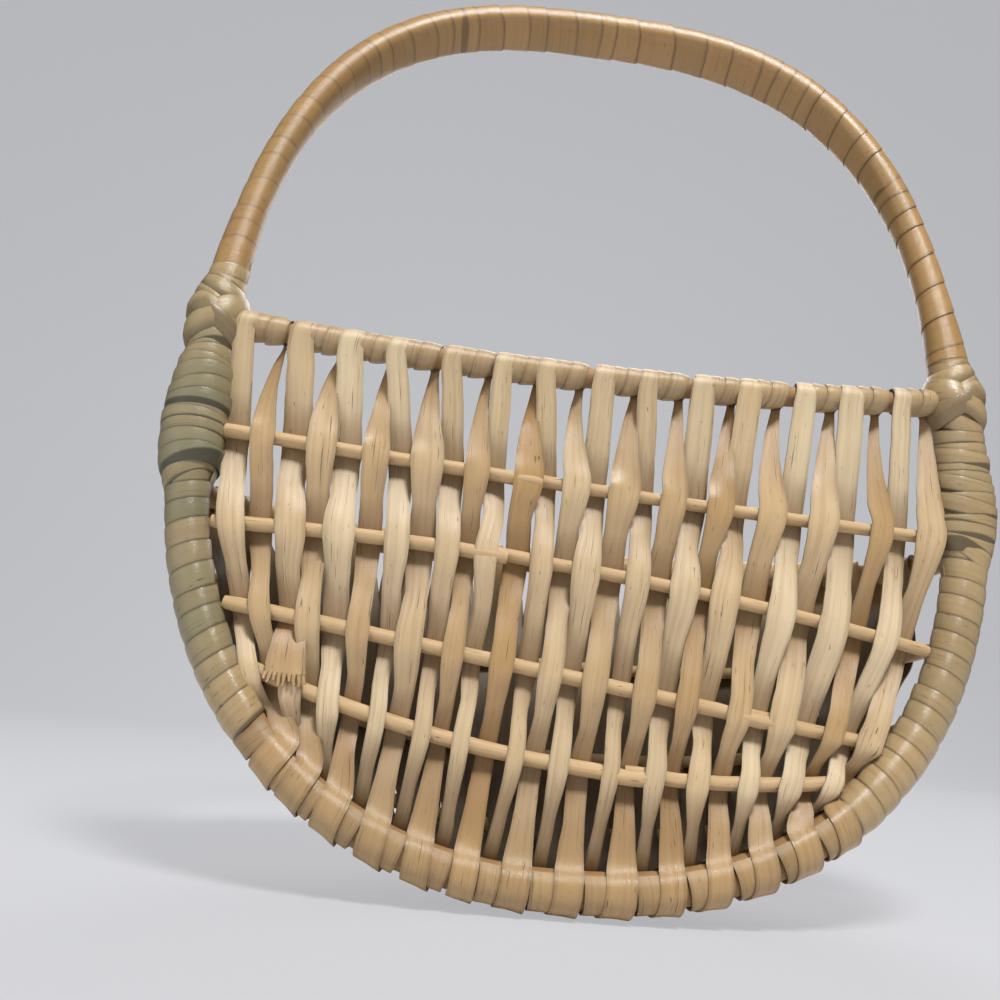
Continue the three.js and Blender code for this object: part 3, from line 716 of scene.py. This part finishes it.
# Between crossbar and first stick: share of the way, relative width and tone, or turn and relative width.
RISE_SHAPE = ((0.65, 0.95, 0.93), (0.3, 0.9, 1.0))
HANG_SHAPE = ((0.1, 34, 0.34), (0.32, 28, 0.5), (0.58, 18, 0.7), (0.84, 6, 0.98))
HOOK_START = 125
HOOK_END = 345
HOOK_LAYER = 1.0
for pair in range(PAIRS):
    rng = np.random.default_rng(100 + pair)
    slot = 2 * pair
    bar_start = bar_starts[pair]
    rise_skin = rng.uniform(0.0, 0.45)
    fall_skin = rng.uniform(0.35, 1.0)
    rise_wide, fall_wide = rng.uniform(0.84, 1.22, 2)
    riser = back_pass(slot, 1, rise_wide, rise_skin, rng)[::-1]
    fall = back_pass(slot + 1, -1, fall_wide, fall_skin, rng)
    # Painted shade: where the strip runs round behind the rim, the tuck and the piece below it are darker.
    tuck = [Station(*on_rim(slot, degrees, 0.6), turn=0, width=TUCK_WIDTH, stain=0.3, skin=0.5, upper=0.5,
                    lower=0.6)
            for degrees in (-10, 20, 50)]
    below = Station(between(tuck[-1].place, riser[0].place, 0.5), RIGHTWARD, turn=14, width=TUCK_WIDTH,
                    stain=0.35, skin=rise_skin, upper=0.5, lower=0.7)
    wrap = []
    for degrees in WRAP_DEGREES:
        x = bar_start + BAR_PITCH * (180 - degrees) / DEGREES_PER_PITCH
        coil = 1 - smooth(degrees, 60, 180)
        tone = 0.94 - 0.1 * coil
        wrap.append(Station(on_bar(x, degrees, 0.9 - 0.25 * coil), RIGHTWARD, turn=7 * coil,
                            width=BAR_PITCH * (rise_wide * 0.86 * (1 - coil) + COIL_WIDTH * coil), stain=0.0,
                            skin=rise_skin + (COIL_SKIN - rise_skin) * coil, upper=tone, lower=tone))
    above = []
    # Painted shade on the riser's far face above the first stick.
    for share, broad, tone in RISE_SHAPE:
        above.append(Station(between(wrap[0].place, riser[-1].place, share), RIGHTWARD, turn=rng.normal(0, 3),
                             width=BAR_PITCH * rise_wide * broad, stain=0.0, skin=rise_skin, upper=0.7,
                             lower=tone))
    aside = BAR_PITCH * rng.uniform(0.05, 0.25)
    # Painted shade under the crossbar: the hanging part's seen face is darker near the bar, and its far face
    # is darker throughout.
    hang = []
    for share, turn, broad in HANG_SHAPE:
        place = between(wrap[-1].place, fall[0].place, share) - RIGHTWARD * aside * 4 * share * (1 - share)
        place[1] = wrap[-1].place[1] + (fall[0].place[1] - wrap[-1].place[1]) * share ** 0.7
        hang.append(Station(place, RIGHTWARD, turn=turn + rng.normal(0, 5),
                            width=BAR_PITCH * fall_wide * broad, stain=0.5 * (1 - share), skin=fall_skin,
                            upper=0.72 + 0.3 * share, lower=0.6))
    start, along = on_rim(slot + 1, HOOK_START, HOOK_LAYER)
    lean = float(np.clip(unit(start - fall[-1].place) @ along, -0.3, 0.2))
    hook_wide = RIM_PITCH * rng.uniform(1.0, 1.26)
    hook_tone = rng.uniform(0.84, 1.0)
    hook = []
    for degrees in range(HOOK_START, HOOK_END + 1, 20):
        end = smooth(degrees, 280, HOOK_END)
        at = slot + 1 + lean * (RIM_ROD_RADIUS + HOOK_LAYER) * math.radians(degrees - HOOK_START) / RIM_PITCH
        hook.append(Station(*on_rim(at, degrees, HOOK_LAYER - 0.5 * end), turn=4,
                            width=hook_wide * (1 - 0.25 * end), stain=0.05, skin=0.9, upper=hook_tone,
                            lower=0.9))
    # Painted shade: the piece between the last stick and the hook is darker, its far face most.
    last = Station(between(hook[0].place, fall[-1].place, 0.5), RIGHTWARD, turn=8, width=RIM_PITCH * 0.9,
                   stain=0.3, skin=fall_skin, upper=0.82, lower=0.5)
    splint = make_strip(f"back_splint_{pair + 1:02d}",
                        [*tuck, below, *riser, *above, *wrap, *hang, *fall, last, *hook],
                        200 + pair, back_fibre, tone=rng.uniform(0.94, 1.05))
    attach(splint, "root")
    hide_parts(f"back_weaver_{pair + 1:02d}")


# Frayed end
# One willow splint at the left was let in short. Its broad end hangs from behind the third stick and has
# split into a fringe of fibres.
FRAYED_X = -66.5
FRAYED_LEAN = 1.2
FRAYED_LENGTH = 14.5
FRAYED_FRONT = -3.2
TEETH = 9
MIDDLE_TOOTH = 4
TOOTH_PITCH = 1.03
TOOTH_ROOT = 12.6
frayed_top = stick_height(2, FRAYED_X)
rng = np.random.default_rng(171)
stations = []
# Painted shade: the end's seen face is darker where it hangs behind the stick, and the far faces of the end
# and its fibres are darker.
for share, y in ((0.0, 1.9), (0.15, 1.6), (0.4, -0.6), (0.7, -2.3), (1.0, FRAYED_FRONT)):
    place = np.array([FRAYED_X + FRAYED_LEAN * share, y, frayed_top + 1.5 - FRAYED_LENGTH * share])
    stations.append(Station(place, RIGHTWARD, turn=3, width=5.8 + 3.4 * share, stain=0.5 - 0.4 * share,
                            skin=0.75, upper=0.75 + 0.25 * share, lower=0.6))
frayed = [make_strip("frayed_end", stations, 699, back_fibre, spacing=0.5)]
for tooth in range(TEETH):
    x = FRAYED_X + FRAYED_LEAN + (tooth - MIDDLE_TOOTH) * TOOTH_PITCH
    length = rng.uniform(1.4, 3.0)
    stations = []
    for share in (0.0, 0.4, 0.7, 1.0):
        bent = x + (tooth - MIDDLE_TOOTH) * 0.08 * share + rng.normal(0, 0.15) * share
        place = np.array([bent, FRAYED_FRONT - 0.4 * share, frayed_top - TOOTH_ROOT - length * share])
        stations.append(Station(place, RIGHTWARD, turn=3, width=1.0 - 0.45 * share, stain=0.3, skin=0.75,
                                upper=0.95, lower=0.7))
    frayed.append(make_strip(f"frayed_end_{tooth + 1}", stations, 700 + tooth, back_fibre, spacing=0.4))
for piece in frayed:
    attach(piece, "root")
    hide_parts("back_weaver_02")


# Pocket splints
# The same willow strips on the pocket: wound round its rim, woven over the ribs and hooked over the hoop's
# rim between the back splints. More of the tan skin side is turned out.
FRONT_LAYER = 0.75
RIB_CLEARANCE = 0.7
LEVEL_STEP = 0.02
FIRST_LEVEL = 0.55
LAST_LEVEL = 0.87
POCKET_TURNS = (-16, 16, -16)
POCKET_WIDTHS = (1.06, 1.12, 1.16)
OUTSIDE_WIDTH = 1.24
INSIDE_WIDTH = 1.12
# Painted shade on the inner face of a pocket strip.
INSIDE_FACE_PAINTED_SHADE = 0.24
POCKET_STAIN = 0.1
LOW_STAIN = 0.2
LOW_TURN = 14
LOW_WIDTH = 1.2
FRONT_WRAP_DEGREES = 520
pocket_fibre = fibre_material("pocket_splint_fibre", PITH, SKIN, ORANGE, gloss=0.58, cracks=0.75)


def on_front(arc, degrees):
    centre, along, outward, upward = (found[0] for found in front_at([arc]))
    turn = math.radians(degrees)
    away = outward * math.cos(turn) + upward * math.sin(turn)
    return centre + away * (FRONT_RIM_RADIUS + FRONT_LAYER), along


def on_pocket(slot, level, side):
    """A place on the pocket's surface, raised over a rib or lowered under it, with the spacing there."""
    share = slot_share(slot)
    step = 0.5 / SLOT_CENTRE
    across = pocket_point(share + step, level) - pocket_point(share - step, level)
    down = pocket_point(share, level + LEVEL_STEP) - pocket_point(share, level - LEVEL_STEP)
    outward = unit(np.cross(across, down))
    place = pocket_point(share, level) + outward * side * (RIB_RADIUS + RIB_CLEARANCE)
    return place, unit(across), float(np.linalg.norm(across))


def pocket_pass(slot, first_side, skin, rng):
    """Stations from the pocket's rim down to just above the hoop; first_side is 1 outside the first rib."""
    # Painted shade on the inner face.
    tones = (1.0, INSIDE_FACE_PAINTED_SHADE) if first_side < 0 else (INSIDE_FACE_PAINTED_SHADE, 1.0)
    stations = []
    for index, level in enumerate(RIB_LEVELS):
        side = first_side if index % 2 == 0 else -first_side
        before = (RIB_LEVELS[index - 1] + level) / 2 if index else level * FIRST_LEVEL
        place, across, pitch = on_pocket(slot, before, 0)
        turn = POCKET_TURNS[index] + rng.normal(0, 5)
        stations.append(Station(place, across, turn, pitch * POCKET_WIDTHS[index], POCKET_STAIN, skin,
                                *tones))
        place, across, pitch = on_pocket(slot, level, side)
        width = pitch * (OUTSIDE_WIDTH if side > 0 else INSIDE_WIDTH)
        stations.append(Station(place, across, rng.normal(0, 4), width, POCKET_STAIN, skin, *tones))
    place, across, pitch = on_pocket(slot, LAST_LEVEL, 0)
    stations.append(Station(place, across, LOW_TURN, pitch * LOW_WIDTH, LOW_STAIN, skin, *tones))
    return stations


for number in range(PAIRS):
    rng = np.random.default_rng(300 + number)
    slot = 2 * number
    start = FRONT_PITCH * (slot - SLOT_CENTRE)
    rise_skin = rng.uniform(0.3, 1.0)
    fall_skin = rng.uniform(0.0, 0.8)
    hump_wide = RIM_PITCH * rng.uniform(0.82, 1.06)
    hump_tone = rng.uniform(0.72, 0.92)
    hump = [Station(*on_rim(slot, degrees, 0.55), turn=0, width=hump_wide, stain=0.05, skin=0.9,
                    upper=hump_tone, lower=hump_tone)
            for degrees in range(-80, -236, -25)]
    # Painted shade: the tuck round behind the hoop's rim is darker.
    tuck = [Station(*on_rim(slot + 1, degrees, 0.7), turn=0, width=RIM_PITCH * 0.9, stain=0.2, skin=0.5,
                    upper=0.7, lower=0.7)
            for degrees in (20, 55, 90)]
    wrap = [Station(*on_front(start + FRONT_PITCH * degrees / FRONT_WRAP_DEGREES, degrees), turn=6,
                    width=FRONT_PITCH * 0.85, stain=0.0, skin=0.9, upper=0.95, lower=0.95)
            for degrees in range(-20, 541, 20)]
    riser = pocket_pass(slot, -1, rise_skin, rng)
    fall = pocket_pass(slot + 1, 1, fall_skin, rng)
    splint = make_strip(f"pocket_splint_{number + 1:02d}", [*hump[::-1], *riser[::-1], *wrap, *fall, *tuck],
                        400 + number, pocket_fibre, tone=rng.uniform(0.92, 1.05))
    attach(splint, "root")
    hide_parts(f"front_weaver_{number + 1:02d}")


# Side bindings
# Willow skin wound tightly round the hoop at both ears and down both sides, turn over turn. It ties in the
# ends of the crossbar and of the pocket's rim, in two layers where both rods lie together; some is still
# olive green, most of all on the left.
OLIVE = colour(126, 125, 98)
TURN_STEPS = 28
TURN_FIBRE = 28.0
WINDING_THICKNESS = 0.4
WINDING_SKIN = 0.75
EDGE_BAND = 0.86
FURTHEST_SHADOW = 0.85
NEAREST_SHADOW = -0.75
FIRST_EDGE_SHADE = 0.3
side_fibre = fibre_material("side_wrap_fibre", colour(186, 164, 124), colour(174, 148, 106), OLIVE,
                            gloss=0.76, cracks=0.35)


def make_winding(name, arcs, width, seed, material, tone, stain, layers=0.0, tilts=0.0, slant=0.0, lapped=0.6,
                 rough=0.2, shadow=0.68, crown=0.28, edge=0.2, flatness=0.0):
    """A strip wound round the hoop, one turn per step of arcs, each turn lapped over the one before. Layers
    lift the turns off the rod and tilts set their inner side lower. A thin painted shadow lies along the next
    turn's edge and a thin painted dark line along each turn's raised edge, and flatness squares the section
    where the rod is deeper than it is thick."""
    rng = np.random.default_rng(seed)
    turns = len(arcs) - 1
    turn = np.linspace(0, turns, turns * TURN_STEPS + 1)
    knots = np.arange(turns + 1)
    arc = flow(knots, arcs, turn)
    angle = np.pi / 2 + 2 * np.pi * turn
    widths = width * rng.uniform(0.88, 1.12, turns + 1)
    wide = flow(knots, widths, turn)
    lifts = flow(knots, layers + rng.uniform(0.0, rough, turns + 1), turn)
    tilts = np.broadcast_to(tilts, turns + 1)
    tilt = flow(knots, tilts, turn)
    heading = np.sign(arcs[-1] - arcs[0])
    later = np.minimum(turn + 1, turns)
    gap = heading * (flow(knots, arcs, later) - arc)
    gap += (flow(knots, tilts, later) - tilt) * np.sin(angle)
    shown = 2 * gap - flow(knots, widths, later)
    covered = np.where(turn + 1 < turns, shown / wide, FURTHEST_SHADOW)
    covered = np.clip(covered, edge + NEAREST_SHADOW, FURTHEST_SHADOW)
    ones = np.ones_like(turn)
    share = np.stack([-ones, -EDGE_BAND * ones, (covered - edge - EDGE_BAND) / 2, covered - edge, covered,
                      (covered + 1) / 2, ones])
    rings = []
    for top in (1, 0):
        for u in (share if top else share[::-1]):
            at = arc + heading * (u * wide / 2 + tilt * np.sin(angle)) + slant * np.cos(angle)
            centre, _, inward, forward = hoop_at(at)
            lateral, wallward, roomward = binding_reach(np.mod(at, HOOP_LENGTH))
            lap = lifts + (0.5 - 0.5 * u) * lapped - crown * u * u + top * WINDING_THICKNESS
            power = 2 / (2 + flatness * np.clip(wallward / lateral - 1, 0, 1))
            cosine = np.sign(np.cos(angle)) * np.abs(np.cos(angle)) ** power
            sine = np.sign(np.sin(angle)) * np.abs(np.sin(angle)) ** power
            depth = (np.where(cosine > 0, roomward, wallward) + lap) * cosine
            rings.append(centre + forward * depth[:, None] + inward * ((lateral + lap) * sine)[:, None])
    rings = np.stack(rings, 1)
    spread = np.vstack([share, share[::-1]]).T
    distance = turn * TURN_FIBRE
    grain = np.stack(np.broadcast_arrays(distance[:, None], spread * width / 2, np.array(seed * 1.91)), -1)
    covered = covered[:, None]
    # Painted shade: a thin shadow along the next turn's edge and a dark line along each turn's raised edge.
    wear_and_painted_shade = 1 - shadow * smooth(spread, covered - edge, covered)
    wear_and_painted_shade = wear_and_painted_shade * (1 - FIRST_EDGE_SHADE * smooth(-spread, EDGE_BAND, 1.0))
    tones = np.interp(turn, knots, tone * rng.uniform(0.9, 1.08, turns + 1))
    stains = np.clip(np.interp(turn, knots, np.broadcast_to(stain, turns + 1)), 0, 1)
    look = np.stack(np.broadcast_arrays(WINDING_SKIN, tones[:, None] * wear_and_painted_shade, stains[:, None]), -1)
    return make_piece(name, rings, grain, look, material)


BAR_ARC = arc_at_height(CROSSBAR_HEIGHT)
SIDE_TURNS = 24
SIDE_TOP = 13
SIDE_STRIP_WIDTH = 6.4
OLIVE_BOTTOM = (28, 50)
OLIVE_TOP = (104, 116)
OVER_TURNS = 13
OVER_TOP = -7
OVER_BOTTOM = 5
OVER_LIFT = 1.1
OVER_STRIP_WIDTH = 5.0
EAR_STRIP_WIDTH = 7.6
# The turns of the knot at an ear: distance above the crossbar, lift off the rod and tilt.
EAR_TURNS = np.array(((9.5, 0.2, 1.0), (7.5, 1.2, 2.0), (2.5, 1.5, 3.5), (0.5, 2.6, 4.5), (-0.5, 2.9, -3.0),
                      (-4, 1.6, -1.0)))
for label, hand, green, ear_green in (("right", 1, 0.25, 0.1), ("left", -1, 1.0, 0.3)):
    rng = np.random.default_rng(500 + hand)
    end = RIM_PITCH * SLOTS / 2 + hand * RIM_SLOT_SHIFT - 0.5
    turns = SIDE_TURNS + hand * 2
    arcs = np.linspace(BAR_ARC + SIDE_TOP, end, turns + 1) + rng.normal(0, 0.4, turns + 1)
    heights = hoop_at(arcs)[0][:, 2]
    olive = smooth(heights, *OLIVE_BOTTOM) * (1 - smooth(heights, *OLIVE_TOP))
    olive = olive * rng.uniform(0.3, 1.0, turns + 1)
    under = make_winding(f"side_wrap_{label}", np.mod(hand * arcs, HOOP_LENGTH), SIDE_STRIP_WIDTH, 510 + hand,
                         side_fibre, tone=0.92, stain=olive * green)
    share = np.linspace(0, 1, OVER_TURNS + 1)
    arcs = BAR_ARC + OVER_TOP + (SHARED_LOW + OVER_BOTTOM - BAR_ARC) * share
    arcs = arcs + rng.normal(0, 0.6, OVER_TURNS + 1)
    olive = rng.uniform(0.35, 1.0, OVER_TURNS + 1)
    over = make_winding(f"side_wrap_{label}_over", np.mod(hand * arcs, HOOP_LENGTH), OVER_STRIP_WIDTH,
                        520 + hand, side_fibre, tone=0.98, stain=olive * green,
                        layers=OVER_LIFT * np.sin(np.pi * share ** 1.3),
                        tilts=rng.normal(0, 1.1, OVER_TURNS + 1), slant=1.2, lapped=0.8, rough=1.0)
    arcs = BAR_ARC + EAR_TURNS[:, 0]
    ear = make_winding(f"ear_wrap_{label}", np.mod(hand * arcs, HOOP_LENGTH), EAR_STRIP_WIDTH, 540 + hand,
                       side_fibre, tone=1.0, stain=ear_green, layers=EAR_TURNS[:, 1], tilts=EAR_TURNS[:, 2],
                       lapped=0.3, rough=0.1, shadow=0.4, crown=1.3, edge=0.5)
    for piece in (under, over, ear):
        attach(piece, "root")
        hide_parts(f"side_binding_{label}")


# Handle binding
# One long willow skin, tan, smooth and worn, wound round the handle from ear to ear. Each turn is lapped over
# the last one, and both ends are caught under the bands at the ears.
HANDLE_TURNS = 46
HANDLE_STRIP_WIDTH = 12.5
EAR_TO_HANDLE = 12
handle_fibre = fibre_material("handle_wrap_fibre", colour(184, 150, 98), colour(170, 134, 82), ORANGE,
                              gloss=0.7, cracks=0.3)
rng = np.random.default_rng(600)
handle_start = BAR_ARC + EAR_TO_HANDLE
pitches = rng.uniform(0.5, 1.4, HANDLE_TURNS)
handle_arcs = handle_start + (HOOP_LENGTH - 2 * handle_start) * np.r_[0, np.cumsum(pitches)] / pitches.sum()
handle_wrap = make_winding("handle_wrap", handle_arcs, HANDLE_STRIP_WIDTH, 601, handle_fibre, tone=0.88,
                           stain=rng.uniform(0, 0.15, HANDLE_TURNS + 1), slant=0.8, lapped=0.45, rough=0.12,
                           shadow=0.5, crown=0.1, edge=0.1, flatness=1.0)
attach(handle_wrap, "root")
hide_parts("handle_binding")


# Floor, light and camera
# A plain pale floor that sweeps up behind, one small soft light high above the flat back, a weak broad one
# from the left and one from the room side. The camera stands low before the flat back and looks a little up.
FLOOR_NEAR = -3.0
FLOOR_FAR = 0.9
FLOOR_HALF_WIDTH = 4.0
SWEEP_RADIUS = 0.5
SWEEP_TOP = 3.0
FLOOR_GAP = 0.001
FLOOR_GLOW = 0.7
floor_low = cad_low.z - FLOOR_GAP
sweep = [(FLOOR_NEAR, floor_low), (FLOOR_FAR, floor_low)]
for turn in np.radians(np.arange(0, 91, 10)):
    sweep.append((FLOOR_FAR + SWEEP_RADIUS * math.sin(turn), floor_low + SWEEP_RADIUS * (1 - math.cos(turn))))
sweep.append((FLOOR_FAR + SWEEP_RADIUS, SWEEP_TOP))
verts = [(x, y, z) for y, z in sweep for x in (-FLOOR_HALF_WIDTH, FLOOR_HALF_WIDTH)]
floor_mesh = bpy.data.meshes.new("floor")
floor_mesh.from_pydata(verts, [], [(2 * i, 2 * i + 1, 2 * i + 3, 2 * i + 2) for i in range(len(sweep) - 1)])
floor_mesh.polygons.foreach_set("use_smooth", [True] * len(floor_mesh.polygons))
floor = bpy.data.objects.new("floor", floor_mesh)
bpy.context.scene.collection.objects.link(floor)
floor_paint = bpy.data.materials.new("floor_paint")
floor_paint.use_nodes = True
paint_tree = floor_paint.node_tree
paint = paint_tree.nodes["Principled BSDF"]
paint.inputs["Base Color"].default_value = colour(215, 215, 219)
paint.inputs["Roughness"].default_value = 0.9
seen = paint_tree.nodes.new("ShaderNodeLightPath")
pale = paint_tree.nodes.new("ShaderNodeEmission")
pale.inputs["Color"].default_value = colour(205, 206, 210)
glow = paint_tree.nodes.new("ShaderNodeMath")
glow.operation = "MULTIPLY"
glow.inputs[1].default_value = FLOOR_GLOW
both = paint_tree.nodes.new("ShaderNodeMixShader")
paint_tree.links.new(seen.outputs["Is Camera Ray"], glow.inputs[0])
paint_tree.links.new(glow.outputs[0], both.inputs[0])
paint_tree.links.new(paint.outputs[0], both.inputs[1])
paint_tree.links.new(pale.outputs[0], both.inputs[2])
paint_tree.links.new(both.outputs[0], paint_tree.nodes["Material Output"].inputs["Surface"])
floor_mesh.materials.append(floor_paint)
floor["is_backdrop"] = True

middle = (cad_low + cad_high) / 2


def soft_light(name, offset, size, power):
    lamp = bpy.data.lights.new(name, "AREA")
    lamp.shape = "DISK"
    lamp.size = size
    lamp.energy = power
    made = bpy.data.objects.new(name, lamp)
    made.location = middle + Vector(offset)
    made.rotation_euler = (-Vector(offset)).to_track_quat("-Z", "Y").to_euler()
    bpy.context.scene.collection.objects.link(made)


soft_light("key_light", offset=(0.1, -0.52, 0.72), size=0.22, power=9.8)
soft_light("fill_light", offset=(-0.8, -0.7, 0.25), size=0.9, power=2.2)
soft_light("room_light", offset=(0.3, 0.8, 0.9), size=1.0, power=8)

world = bpy.data.worlds.new("pale_room")
bpy.context.scene.world = world
world.use_nodes = True
world_tree = world.node_tree
around = world_tree.nodes["Background"]
around.inputs["Color"].default_value = colour(235, 235, 238)
around.inputs["Strength"].default_value = 0.18
beyond = world_tree.nodes.new("ShaderNodeBackground")
beyond.inputs["Color"].default_value = colour(200, 201, 205)
looked_at = world_tree.nodes.new("ShaderNodeLightPath")
chosen = world_tree.nodes.new("ShaderNodeMixShader")
world_tree.links.new(looked_at.outputs["Is Camera Ray"], chosen.inputs[0])
world_tree.links.new(around.outputs[0], chosen.inputs[1])
world_tree.links.new(beyond.outputs[0], chosen.inputs[2])
world_tree.links.new(chosen.outputs[0], world_tree.nodes["World Output"].inputs["Surface"])

lens = bpy.data.cameras.new("camera")
lens.lens = 27.04
lens.sensor_width = 36.0
lens.clip_start = 0.01
camera = bpy.data.objects.new("camera", lens)
standpoint = (-0.03265, -0.18343, -0.20407)
right = Vector((0.992899, -0.086347, 0.081829))
down = Vector((0.102632, 0.273927, -0.956259))
ahead = Vector((0.060155, 0.957866, 0.280844))
turned = Matrix((right, -down, -ahead)).transposed().to_4x4()
camera.matrix_world = Matrix.Translation(standpoint) @ turned
bpy.context.scene.collection.objects.link(camera)
bpy.context.scene.camera = camera
bpy.context.scene.view_settings.view_transform = "Standard"

low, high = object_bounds()
